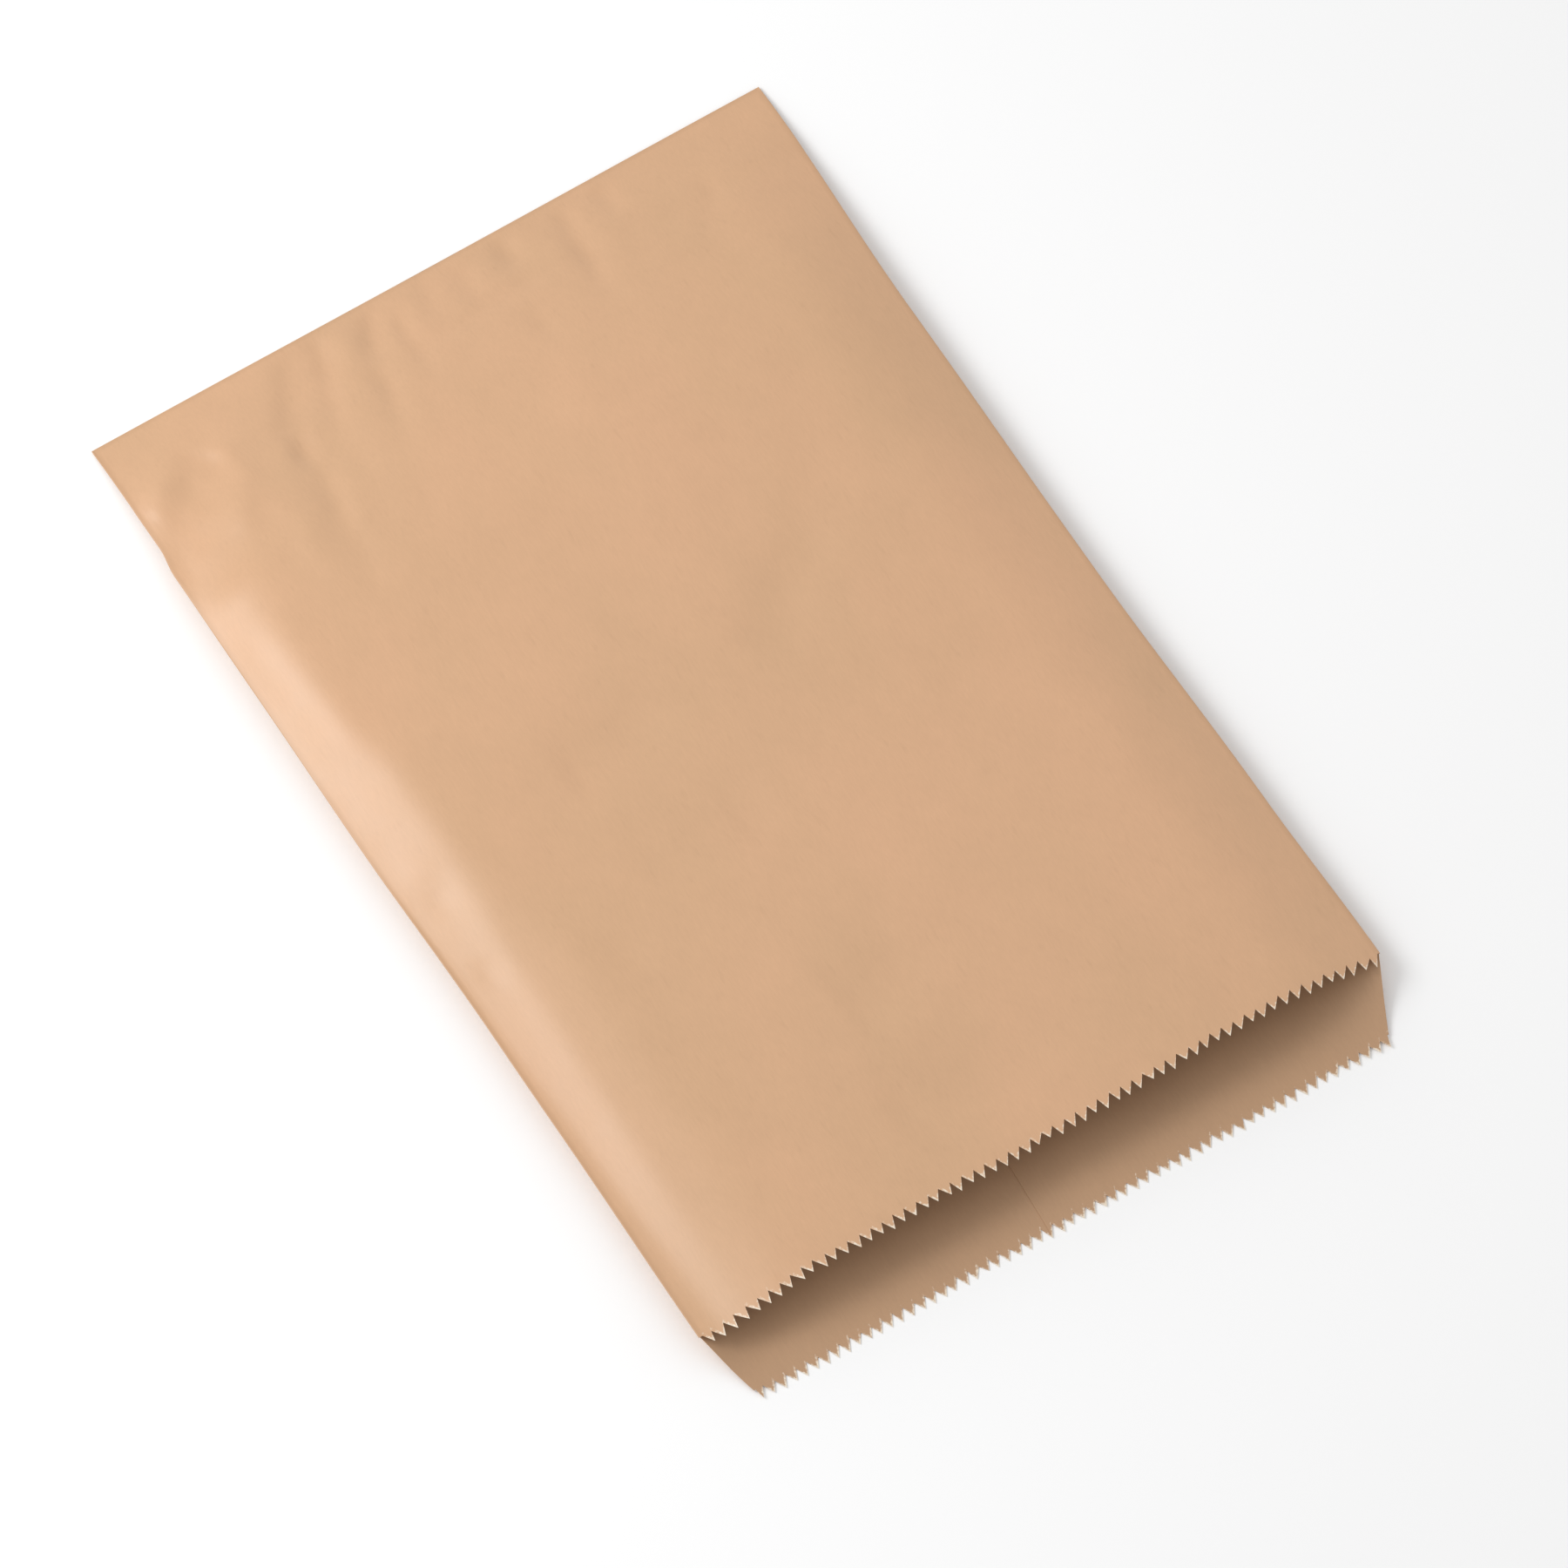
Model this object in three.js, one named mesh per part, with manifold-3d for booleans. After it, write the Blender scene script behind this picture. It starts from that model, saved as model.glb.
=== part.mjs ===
import * as THREE from "three";
import { mergeVertices } from "three/addons/utils/BufferGeometryUtils.js";
import Module from "manifold-3d";

// A flat kraft paper bag, lying on its back with its mouth standing open by about a centimetre.
// It is one sheet: folded to a tube, lapped and glued along the middle of the back, cut across with a
// toothed knife, and closed by folding the front's tongue over onto the back.
// Millimetres. X runs across the bag, the mouth is at -Y, the closed end at +Y, and +Z is up.

const wasm = await Module();
wasm.setup();

// The sheet and how it is folded
const PAPER = 0.12; // one sheet of kraft paper
const WIDTH = 152.4; // the flattened tube, fold to fold
const FRONT_LENGTH = 227; // closed edge to the tips of the front's teeth
const LIP_LENGTH = 12.5; // how far the back sheet reaches past the front's teeth
const LIP_INSET = 2.4; // how far each side of the lip is cut in
const SEAM_OVERLAP = 12; // the lengthwise lap on the back
const FLAP_LENGTH = 15; // the front's tongue, folded over onto the back

// The toothed knife that cuts the mouth and the tongue
const TOOTH_PITCH = 2.54;
const TOOTH_DEPTH = 1.8;

// The shape that the bag is held in
const OPEN_HEIGHT = 9.8; // clear height inside
const RISE_LENGTH = 62; // from the closed edge to where the front is at its full height
const LEFT_SHOULDER_DEEP = 17; // width of the front's slope by the left fold, at the end of the rise
const LEFT_SHOULDER_MOUTH = 10; // and at the mouth
const RIGHT_SHOULDER = 22; // width of the gentler slope by the right fold
const SWAY = 1.1; // how far the bag bows to the left, a quarter of the way down
const LIP_DROP = 0.8; // share of the side folds' height that the lip has lost at its teeth

// How the paper lies over its own edges
const CREASE = 2; // length of the closed end where front and back lie on each other
const FOLD_ROUND = 0.3; // half width of a side fold's blunt edge
const STEP_WIDTH = 0.1; // a cut edge seen from the side
const DRAPE = 2; // how far the sheet takes to come down off an edge under it

// How finely the curves are divided
const SHOULDER_SHARES = [0.12, 0.28, 0.45, 0.65, 1];
const RISE_STEPS = 10;
const LENGTH_STEPS = 10;
const LIP_STEPS = 4;

// Places that follow from the sizes
const LENGTH = FRONT_LENGTH + LIP_LENGTH;
const CLOSED_Y = LENGTH / 2;
const TUBE_END = FRONT_LENGTH + STEP_WIDTH; // the whole tube runs just past the front's teeth
const SEAM_LEFT = -SEAM_OVERLAP / 2;
const SEAM_RIGHT = SEAM_OVERLAP / 2;
const FOLD_HEIGHT = PAPER + OPEN_HEIGHT / 2; // the side folds at the mouth, halfway up
const KNIFE_REACH = WIDTH / 4; // how far the knife's block reaches past the paper

// The sine slope of the front and the parabola of the back take up the same paper with this ratio of widths
const BACK_TO_FRONT_SHOULDER = 32 / (3 * Math.PI ** 2);

const clamp01 = (value) => THREE.MathUtils.clamp(value, 0, 1);

// How far the bag has opened, from 0 at the closed edge to 1 at the end of the rise.
function rise(depth) {
  return Math.sin((Math.PI / 2) * clamp01(depth / RISE_LENGTH));
}

// The sideways bow: none at the closed edge and none at the mouth.
function sway(depth) {
  return -SWAY * Math.sin(Math.PI * Math.sqrt(clamp01(depth / FRONT_LENGTH)));
}

// Paper that a sine slope takes up beyond its own width.
function takenUp(drop, shoulder) {
  return (Math.PI ** 2 * drop ** 2) / (16 * shoulder);
}

// Height of the inside of the back above the table: it lies on the flap, then drapes down off its edge.
function floorHeight(depth) {
  const onFlap = 1 - clamp01((depth - FLAP_LENGTH) / DRAPE);
  return PAPER + PAPER * onFlap;
}

// The measures of one cross-section, at a depth counted from the closed edge.
function crossSection(depth) {
  const drop = (OPEN_HEIGHT * rise(depth)) / 2;
  const alongLeft = clamp01((depth - RISE_LENGTH) / (FRONT_LENGTH - RISE_LENGTH));
  const leftShoulder = THREE.MathUtils.lerp(LEFT_SHOULDER_DEEP, LEFT_SHOULDER_MOUTH, alongLeft);
  const lipDrop = LIP_DROP * clamp01((depth - TUBE_END) / (LENGTH - TUBE_END));
  return {
    y: CLOSED_Y - depth,
    floor: floorHeight(depth),
    drop,
    backRise: drop * (1 - lipDrop),
    leftShoulder,
    rightShoulder: RIGHT_SHOULDER,
    left: -WIDTH / 2 + PAPER + takenUp(drop, leftShoulder) + sway(depth),
    right: WIDTH / 2 - PAPER - takenUp(drop, RIGHT_SHOULDER) + sway(depth),
  };
}

// Inside of the front sheet above x: flat in the middle, with a sine slope down to each fold.
function frontInside(section, x) {
  const fromLeft = clamp01((x - section.left) / section.leftShoulder);
  const fromRight = clamp01((section.right - x) / section.rightShoulder);
  const share = Math.sin((Math.PI / 2) * Math.min(fromLeft, fromRight));
  return section.floor + section.drop * (1 + share);
}

// Inside of the back sheet above x: flat on the table, curling up to each fold, without the seam.
function backInside(section, x) {
  const leftWidth = section.leftShoulder * BACK_TO_FRONT_SHOULDER;
  const rightWidth = section.rightShoulder * BACK_TO_FRONT_SHOULDER;
  const fromLeft = clamp01((x - section.left) / leftWidth);
  const fromRight = clamp01((section.right - x) / rightWidth);
  return section.floor + section.backRise * (1 - Math.min(fromLeft, fromRight)) ** 2;
}

// Places across the bag where a sheet bends, from the left fold to the right one.
function bendsAcross(section, shoulderScale, middle) {
  const leftWidth = section.leftShoulder * shoulderScale;
  const rightWidth = section.rightShoulder * shoulderScale;
  const leftPlaces = SHOULDER_SHARES.map((share) => section.left + share * leftWidth);
  const rightPlaces = SHOULDER_SHARES.map((share) => section.right - share * rightWidth);
  return [
    section.left,
    section.left + FOLD_ROUND,
    ...leftPlaces,
    ...middle,
    ...rightPlaces.reverse(),
    section.right - FOLD_ROUND,
    section.right,
  ];
}

// A curve moved outwards by the paper's thickness: up for the front, down for the back.
function thickened(curve, side) {
  const last = curve.length - 1;
  return curve.map(([x, z], i) => {
    if (i === 0) return [x - PAPER, z];
    if (i === last) return [x + PAPER, z];
    const [beforeX, beforeZ] = curve[i - 1];
    const [afterX, afterZ] = curve[i + 1];
    const run = new THREE.Vector2(afterX - beforeX, afterZ - beforeZ).normalize();
    return [x - side * run.y * PAPER, z + side * run.x * PAPER];
  });
}

// Inner and outer outline of the front sheet.
function frontCurves(section) {
  const quarter = WIDTH / 4;
  const places = bendsAcross(section, 1, [-quarter, 0, quarter]);
  const inner = places.map((x) => [x, frontInside(section, x)]);
  return { inner, outer: thickened(inner, 1) };
}

// Inner and outer outline of the back sheet. The right edge of the sheet lies on the left one along the
// seam: the inside shows the upper edge at the seam's left, the outside the lower edge at its right.
function backCurves(section) {
  const steps = [SEAM_LEFT - STEP_WIDTH, SEAM_LEFT, SEAM_RIGHT, SEAM_RIGHT + STEP_WIDTH, SEAM_RIGHT + DRAPE];
  const quarter = WIDTH / 4;
  const places = bendsAcross(section, BACK_TO_FRONT_SHOULDER, [-quarter, ...steps, quarter]);
  const plain = places.map((x) => [x, backInside(section, x)]);
  const upperLift = (x) => {
    if (x < SEAM_LEFT) return 0;
    return PAPER * (1 - clamp01((x - SEAM_RIGHT - STEP_WIDTH) / (DRAPE - STEP_WIDTH)));
  };
  const lowerLift = (x) => (x > SEAM_RIGHT ? upperLift(x) : 0);
  const inner = plain.map(([x, z]) => [x, z + upperLift(x)]);
  const outer = thickened(plain, -1).map(([x, z], i) => [x, z + lowerLift(places[i])]);
  return { inner, outer };
}

// A closed solid through rings of [x, z] points, each at its own y, going from the closed end to the mouth.
// A ring runs out on one sheet and comes back on the other. The way back splits its quads the other way, so
// that two sheets, or two sides of one sheet, that lie on each other have the same facets.
function loft(rings) {
  const { turn } = rings[0];
  const size = rings[0].points.length;
  const positions = rings.flatMap(({ y, points }) => points.flatMap(([x, z]) => [x, y, z]));
  const index = [];
  for (let ring = 0; ring < rings.length - 1; ring++) {
    for (let i = 0; i < size; i++) {
      const next = (i + 1) % size;
      const [a, b] = [ring * size + i, ring * size + next];
      const [c, d] = [a + size, b + size];
      if (i < turn) index.push(a, b, c, b, d, c);
      else index.push(a, b, d, a, d, c);
    }
  }
  const capOf = (points) =>
    THREE.ShapeUtils.triangulateShape(points.map(([x, z]) => new THREE.Vector2(x, z)), []);
  const lastStart = (rings.length - 1) * size;
  capOf(rings[0].points).forEach(([a, b, c]) => index.push(a, c, b));
  capOf(rings.at(-1).points).forEach(([a, b, c]) => index.push(lastStart + a, lastStart + b, lastStart + c));
  const geometry = new THREE.BufferGeometry();
  geometry.setAttribute("position", new THREE.Float32BufferAttribute(positions, 3));
  geometry.setIndex(index);
  return geometry;
}

// A closed three.js geometry as a solid that can be joined and cut.
function solidOf(geometry) {
  const bare = geometry.clone();
  bare.deleteAttribute("normal");
  bare.deleteAttribute("uv");
  const merged = mergeVertices(bare, 1e-4);
  const solid = new wasm.Manifold(
    new wasm.Mesh({
      numProp: 3,
      vertProperties: new Float32Array(merged.attributes.position.array),
      triVerts: new Uint32Array(merged.index.array),
    }),
  );
  if (solid.volume() <= 0) throw new Error("a piece of the bag is inside out or empty");
  return solid;
}

function geometryOf(solid) {
  const mesh = solid.getMesh();
  const geometry = new THREE.BufferGeometry();
  geometry.setAttribute("position", new THREE.BufferAttribute(mesh.vertProperties, 3));
  geometry.setIndex(new THREE.BufferAttribute(mesh.triVerts, 1));
  return geometry;
}

// A ring round both sheets, which share their fold points, and one round a single sheet.
const ringOf = (front, back) => ({
  points: [...back, ...front.slice(1, -1).reverse()],
  turn: back.length - 1,
});
const bandOf = (lower, upper) => ({
  points: [...lower, ...upper.toReversed()],
  turn: lower.length - 1,
});
const spread = (from, to, steps) =>
  Array.from({ length: steps + 1 }, (_, i) => THREE.MathUtils.lerp(from, to, i / steps));
const inOrder = (depths) => [...new Set(depths)].sort((a, b) => a - b);

// Depths at which the tube is drawn, from a first one to its end just past the front's teeth.
function tubeDepths(first) {
  const edges = [FLAP_LENGTH, FLAP_LENGTH + DRAPE];
  const depths = [...spread(CREASE, RISE_LENGTH, RISE_STEPS), ...spread(RISE_LENGTH, TUBE_END, LENGTH_STEPS), ...edges];
  return inOrder([first, ...depths].filter((depth) => depth >= first));
}

// The tube: its outside, less the pocket that runs out of the mouth.
function makeTube() {
  const outside = tubeDepths(0).map((depth) => {
    const section = crossSection(depth);
    return { y: section.y, ...ringOf(frontCurves(section).outer, backCurves(section).outer) };
  });
  const inside = tubeDepths(CREASE).map((depth) => {
    const section = crossSection(depth);
    return { y: section.y, ...ringOf(frontCurves(section).inner, backCurves(section).inner) };
  });
  const mouth = inside.at(-1);
  inside.push({ ...mouth, y: mouth.y - STEP_WIDTH });
  return solidOf(loft(outside)).subtract(solidOf(loft(inside)));
}

// The back sheet past the end of the tube, sinking to the table.
function makeLip() {
  const rings = spread(TUBE_END, LENGTH, LIP_STEPS).map((depth) => {
    const section = crossSection(depth);
    const { inner, outer } = backCurves(section);
    return { y: section.y, ...bandOf(outer, inner) };
  });
  return solidOf(loft(rings));
}

// The tongue of the front, folded over and glued to the back; its upper half sinks into the glued sheet.
function makeFlap() {
  const rings = inOrder([0, ...tubeDepths(CREASE).filter((depth) => depth < FLAP_LENGTH), FLAP_LENGTH]).map((depth) => {
    const section = crossSection(depth);
    const { outer } = backCurves(section);
    const glued = outer.slice(1, -1);
    const lower = glued.map(([x, z]) => [x, z - PAPER]);
    const upper = glued.map(([x, z]) => [x, z + PAPER / 2]);
    return { y: section.y, ...bandOf(lower, upper) };
  });
  const { left, right } = crossSection(FLAP_LENGTH);
  const edge = toothedEdge(left, right, CLOSED_Y - FLAP_LENGTH, TOOTH_DEPTH);
  const knife = knifeBlock(edge, -KNIFE_REACH, KNIFE_REACH);
  return solidOf(loft(rings)).subtract(knife);
}

// A zigzag from one side to the other. The tips are at tipY, and the valleys stand back from them.
function toothedEdge(left, right, tipY, depth) {
  const count = Math.max(1, Math.round((right - left) / TOOTH_PITCH));
  const pitch = (right - left) / count;
  const edge = [[left, tipY + depth]];
  for (let tooth = 0; tooth < count; tooth++) {
    edge.push([left + (tooth + 0.5) * pitch, tipY]);
    edge.push([left + (tooth + 1) * pitch, tipY + depth]);
  }
  return edge;
}

// Everything on the mouth side of an edge, between two heights: what the knife takes away.
function knifeBlock(edge, bottom, top) {
  const [, startY] = edge[0];
  const farX = WIDTH / 2 + KNIFE_REACH;
  const farY = startY - LIP_LENGTH - KNIFE_REACH;
  const outline = [[-farX, farY], [farX, farY], [farX, startY], ...edge.toReversed(), [-farX, startY]];
  const shape = new THREE.Shape(outline.map(([x, y]) => new THREE.Vector2(x, y)));
  const block = new THREE.ExtrudeGeometry(shape, { depth: top - bottom, bevelEnabled: false });
  return solidOf(block.translate(0, 0, bottom));
}

// The cut across the mouth: teeth on the front, and the back's longer lip with slanted sides and teeth.
function makeMouthKnives() {
  const { left, right } = crossSection(FRONT_LENGTH);
  const frontTips = CLOSED_Y - FRONT_LENGTH;
  const frontEdge = toothedEdge(left - PAPER, right + PAPER, frontTips, TOOTH_DEPTH);
  const lipTips = CLOSED_Y - LENGTH;
  const lipTeeth = toothedEdge(left - PAPER + LIP_INSET, right + PAPER - LIP_INSET, lipTips, TOOTH_DEPTH);
  const lipEdge = [frontEdge[0], ...lipTeeth, frontEdge.at(-1)];
  const overlap = PAPER / 2; // the two blocks reach past each other at the folds, so no film is left
  return {
    front: knifeBlock(frontEdge, FOLD_HEIGHT, FOLD_HEIGHT + OPEN_HEIGHT + KNIFE_REACH),
    back: knifeBlock(lipEdge, -KNIFE_REACH, FOLD_HEIGHT + overlap),
  };
}

function makeBag() {
  const { front, back } = makeMouthKnives();
  return makeTube().add(makeLip()).subtract(front).subtract(back).add(makeFlap());
}

const kraftPaper = new THREE.MeshStandardMaterial({ color: 0xd8ad89, roughness: 0.85, metalness: 0 });

const bag = new THREE.Mesh(geometryOf(makeBag()), kraftPaper);
bag.name = "paper_bag";

// The origin is under the middle of the bag, on the table.
bag.geometry.computeBoundingBox();
const { min, max } = bag.geometry.boundingBox;
bag.geometry.translate(-(min.x + max.x) / 2, -(min.y + max.y) / 2, -min.z);

const group = new THREE.Group();
group.add(bag);

export default group;
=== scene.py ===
"""Looks of a flat kraft paper bag with a toothed mouth, a longer back lip and a folded-over bottom.

The bag is one sheet of paper. It starts as a flat blank, is folded round into a tube with a lap along the
back, gets its toothed cuts, and has its tongue folded under the back. Lengths in the classes are
millimetres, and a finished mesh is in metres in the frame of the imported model.
"""

import logging
import math
import random
from dataclasses import dataclass, field
from enum import Enum

import bpy
from mathutils import Matrix, Vector, noise


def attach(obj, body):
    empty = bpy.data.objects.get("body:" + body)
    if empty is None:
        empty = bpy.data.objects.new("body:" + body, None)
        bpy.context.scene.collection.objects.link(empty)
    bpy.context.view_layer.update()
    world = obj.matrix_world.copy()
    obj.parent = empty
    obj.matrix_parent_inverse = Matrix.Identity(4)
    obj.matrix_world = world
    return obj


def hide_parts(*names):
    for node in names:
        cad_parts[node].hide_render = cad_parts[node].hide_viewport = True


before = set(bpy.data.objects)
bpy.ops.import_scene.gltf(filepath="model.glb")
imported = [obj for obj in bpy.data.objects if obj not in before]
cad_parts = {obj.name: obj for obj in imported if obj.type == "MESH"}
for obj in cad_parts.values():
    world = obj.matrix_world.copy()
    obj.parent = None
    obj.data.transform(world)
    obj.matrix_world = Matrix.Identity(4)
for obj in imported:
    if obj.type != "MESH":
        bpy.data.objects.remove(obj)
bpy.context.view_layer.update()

MM = 0.001
# A distance in millimetres from which on an edge or a fold no longer shows
FAR = 9.0
LOG = logging.getLogger("paper_bag")


class Part(Enum):
    """The parts of the blank that a column of its grid can belong to."""

    LOWER_LAP = "back, glued under the lap"
    LEFT_FOLD = "left side fold"
    FRONT = "front"
    RIGHT_FOLD = "right side fold"
    UPPER_LAP = "back, on top of the lap"


BACK_PARTS = (Part.LOWER_LAP, Part.UPPER_LAP)
FOLD_PARTS = (Part.LEFT_FOLD, Part.RIGHT_FOLD)


class Band(Enum):
    """The bands of the blank that a row of its grid can belong to, from the tongue to the lip."""

    TONGUE = "tongue under the back"
    CLOSED_FOLD = "fold of the closed end"
    TUBE = "front and back"
    LIP = "back past the front's teeth"


def clamp01(value: float) -> float:
    """A number held between 0 and 1."""
    return min(1.0, max(0.0, value))


def smooth(value: float) -> float:
    """A soft step from 0 to 1 as the value goes from 0 to 1."""
    t = clamp01(value)
    return t * t * (3.0 - 2.0 * t)


def area_of_smooth(t: float) -> float:
    """The area under the soft step from 0 to t, for t between 0 and 1."""
    return t**3 - t**4 / 2.0


def lerp(start: float, end: float, share: float) -> float:
    """The value a share of the way from start to end."""
    return start + (end - start) * share


def along(stations: tuple[tuple[float, float], ...], depth: float) -> float:
    """A soft curve through stations.

    Args:
        stations: Pairs of depth and value, in the order of their depths.
        depth: Where the value is wanted.

    Returns:
        The value, eased between the two stations around the depth.
    """
    if depth <= stations[0][0]:
        return stations[0][1]
    for (before, low), (after, high) in zip(stations, stations[1:]):
        if depth <= after:
            return lerp(low, high, smooth((depth - before) / (after - before)))
    return stations[-1][1]


def deselect_all() -> None:
    """Leaves nothing selected, so that an operator acts only on what is added next."""
    if bpy.context.mode != "OBJECT":
        bpy.ops.object.mode_set(mode="OBJECT")
    bpy.ops.object.select_all(action="DESELECT")


def make_active(piece: bpy.types.Object) -> None:
    """Selects one object alone and makes it the active one."""
    deselect_all()
    piece.select_set(True)
    bpy.context.view_layer.objects.active = piece


@dataclass(frozen=True)
class Drift:
    """A smooth random variation over the front.

    Args:
        across: Its grain across the bag.
        lengthwise: Its grain along the bag.
        layer: Which layer of the noise it is taken from.
        size: The most that it adds, up or down.
    """

    across: float
    lengthwise: float
    layer: float
    size: float

    def at(self, x: float, depth: float) -> float:
        """Its value at a place on the front."""
        return self.size * noise.noise(Vector((x / self.across, depth / self.lengthwise, self.layer)))


@dataclass(frozen=True)
class Crease:
    """A shallow groove or ridge in the paper, along a bent line on the front.

    Args:
        path: Points (x, depth) that the line runs through.
        depth: How deep it is, negative for a ridge.
        width: Half its width.
        steady: Whether it runs true, without stray bends and ragged depth.
        fade_in: The share of its length over which it comes up to its depth.
        fade_out: The share of its length over which it runs out.
        least: The share of its depth that it has at its very ends.
        margin: How many times its width it can be felt beside its line.
    """

    path: tuple[tuple[float, float], ...]
    depth: float
    width: float
    steady: bool = False
    fade_in: float = 0.2
    fade_out: float = 0.5
    least: float = 0.25
    margin: float = 3.2

    def reach(self) -> tuple[float, float, float, float]:
        """The lowest and highest x and depth that the crease can touch."""
        margin = self.margin * self.width
        xs = [x for x, _ in self.path]
        depths = [d for _, d in self.path]
        return min(xs) - margin, max(xs) + margin, min(depths) - margin, max(depths) + margin

    def sink(self, x: float, depth: float) -> float:
        """How far the crease lets the paper sink at a place on the front.

        Args:
            x: Place across the bag.
            depth: Distance from the closed edge.

        Returns:
            The sinking in millimetres, and 0 away from the crease.
        """
        low_x, high_x, low_d, high_d = self.reach()
        if not (low_x < x < high_x and low_d < depth < high_d):
            return 0.0
        nearest, at, passed = 1e9, 0.0, 0.0
        for (ax, ad), (bx, bd) in zip(self.path, self.path[1:]):
            run_x, run_d = bx - ax, bd - ad
            length = math.hypot(run_x, run_d)
            share = clamp01(((x - ax) * run_x + (depth - ad) * run_d) / length**2)
            away = math.hypot(x - ax - share * run_x, depth - ad - share * run_d)
            if away < nearest:
                nearest, at = away, passed + share * length
            passed += length
        share = at / passed
        ends = smooth(share / self.fade_in) * smooth((1.0 - share) / self.fade_out)
        return self.depth * lerp(self.least, 1.0, ends) * math.exp(-0.5 * (nearest / self.width) ** 2)


@dataclass
class BagShape:
    """The shape that the folded sheet is held in, as sections at a depth from the closed edge."""

    paper: float = 0.12
    width: float = 152.4
    front_length: float = 227.0
    lip_length: float = 13.5
    lip_inset_left: float = 3.9
    lip_inset_right: float = 6.2
    lap: float = 12.0
    tongue: float = 15.0
    teeth: int = 60
    tooth_depth: float = 2.5
    mouth_line: tuple[tuple[float, float], ...] = (
        (-76.0, 0.7),
        (-45.0, 0.0),
        (-5.0, 0.1),
        (38.0, -0.6),
        (58.0, -0.5),
        (76.0, 0.0),
    )
    open_height: float = 9.8
    rise_length: float = 62.0
    fold_radius: float = 0.1
    back_shoulder_start: float = 17.0
    back_shoulder_end: float = 13.0
    back_shoulder_right: float = 1.08
    drape: float = 2.0
    fade_in: float = 9.0
    broad_wave: Drift = Drift(across=34.0, lengthwise=46.0, layer=1.7, size=0.30)
    small_wave: Drift = Drift(across=13.0, lengthwise=19.0, layer=5.1, size=0.05)
    broad_crease: float = 3.0
    crease_bend: Drift = Drift(across=9.0, lengthwise=8.0, layer=8.3, size=1.5)
    crease_shift: Drift = Drift(across=9.0, lengthwise=8.0, layer=12.3, size=1.5)
    crease_raggedness: Drift = Drift(across=5.0, lengthwise=6.0, layer=2.9, size=0.65)
    crease_end_fade: float = 5.0
    crease_side_fade: float = 3.0
    least_gap: float = 0.02
    centre_x: float = 0.34
    left_wander: float = 0.06
    left_wander_grain: float = 9.0
    right_wander: float = 0.05
    right_wander_grain: float = 11.0
    left_edge: tuple[tuple[float, float], ...] = (
        (0.0, -76.3),
        (27.0, -76.6),
        (34.0, -77.4),
        (60.0, -77.6),
        (105.0, -77.4),
        (155.0, -76.4),
        (227.0, -76.2),
    )
    right_edge: tuple[tuple[float, float], ...] = (
        (0.0, 76.1),
        (60.0, 73.9),
        (130.0, 73.9),
        (185.0, 75.1),
        (227.0, 75.9),
    )
    right_shoulder: tuple[tuple[float, float], ...] = ((30.0, 18.0), (80.0, 20.0), (130.0, 22.0))
    left_soft_start: tuple[tuple[float, float], ...] = (
        (0.0, 0.1),
        (105.0, 0.3),
        (150.0, 1.6),
        (185.0, 4.0),
        (215.0, 6.8),
    )
    left_slope: tuple[tuple[float, float], ...] = (
        (15.0, 2.0),
        (60.0, 0.6),
        (80.0, 4.2),
        (95.0, 8.2),
        (115.0, 9.8),
        (135.0, 8.5),
        (215.0, 8.0),
    )
    left_soft_end: tuple[tuple[float, float], ...] = (
        (22.0, 20.0),
        (36.0, 29.0),
        (47.0, 17.0),
        (60.0, 15.0),
        (80.0, 10.5),
        (95.0, 10.5),
        (115.0, 10.5),
        (150.0, 19.0),
        (215.0, 22.0),
    )
    closed_skew: float = 0.65
    skew_length: float = 90.0
    closed_y: float = 119.75
    creases: tuple[Crease, ...] = field(
        default_factory=lambda: CLOSED_END_CREASES + CORNER_CREASES + WEAR_CREASES
    )

    @property
    def closed_middle(self) -> float:
        """Height of the middle of the closed fold, between the back and the tongue under it."""
        return 1.5 * self.paper

    @property
    def closed_radius(self) -> float:
        """Radius of the closed fold's inner skin."""
        return 0.5 * self.paper

    @property
    def length(self) -> float:
        """The whole length, from the closed edge to the tips of the lip."""
        return self.front_length + self.lip_length

    def rise(self, depth: float) -> float:
        """How far the bag has opened, from 0 at the closed edge to 1."""
        return math.sin(math.pi / 2.0 * clamp01(depth / self.rise_length))

    def floor(self, depth: float) -> float:
        """Height of the back's inner skin, which lies on the tongue and drapes down off its edge."""
        on_tongue = 1.0 - smooth((depth - self.tongue) / self.drape)
        return self.paper * (1.0 + on_tongue)

    def left(self, depth: float) -> float:
        """Place of the inner skin at the left side fold."""
        wander = self.left_wander * math.sin(depth / self.left_wander_grain)
        return along(self.left_edge, depth) + self.paper + wander

    def right(self, depth: float) -> float:
        """Place of the inner skin at the right side fold."""
        wander = self.right_wander * math.sin(depth / self.right_wander_grain + 1.0)
        return along(self.right_edge, depth) - self.paper + wander

    def skew(self, x: float, depth: float) -> float:
        """How far the closed edge, folded by machine and not quite square, leads or lags at a place."""
        return self.closed_skew * x / (self.width / 2.0) * (1.0 - smooth(depth / self.skew_length))

    def left_share(self, run: float, depth: float) -> float:
        """How much of its height the front has gained beside the left fold.

        Args:
            run: Distance from the fold, across the bag.
            depth: Distance from the closed edge.

        Returns:
            A share from 0 at the fold to 1 on the flat of the front.
        """
        start = along(self.left_soft_start, depth)
        slope = max(along(self.left_slope, depth), start)
        end = along(self.left_soft_end, depth)
        total = start / 2.0 + (slope - start) + end / 2.0
        if run <= start:
            return start * area_of_smooth(clamp01(run / start)) / total
        if run <= slope:
            return (start / 2.0 + run - start) / total
        tail = clamp01((run - slope) / end)
        return (start / 2.0 + slope - start + end * (tail - area_of_smooth(tail))) / total

    def right_share(self, run: float, depth: float) -> float:
        """How much of its height the front has gained beside the right fold."""
        return math.sin(math.pi / 2.0 * clamp01(run / along(self.right_shoulder, depth)))

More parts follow.
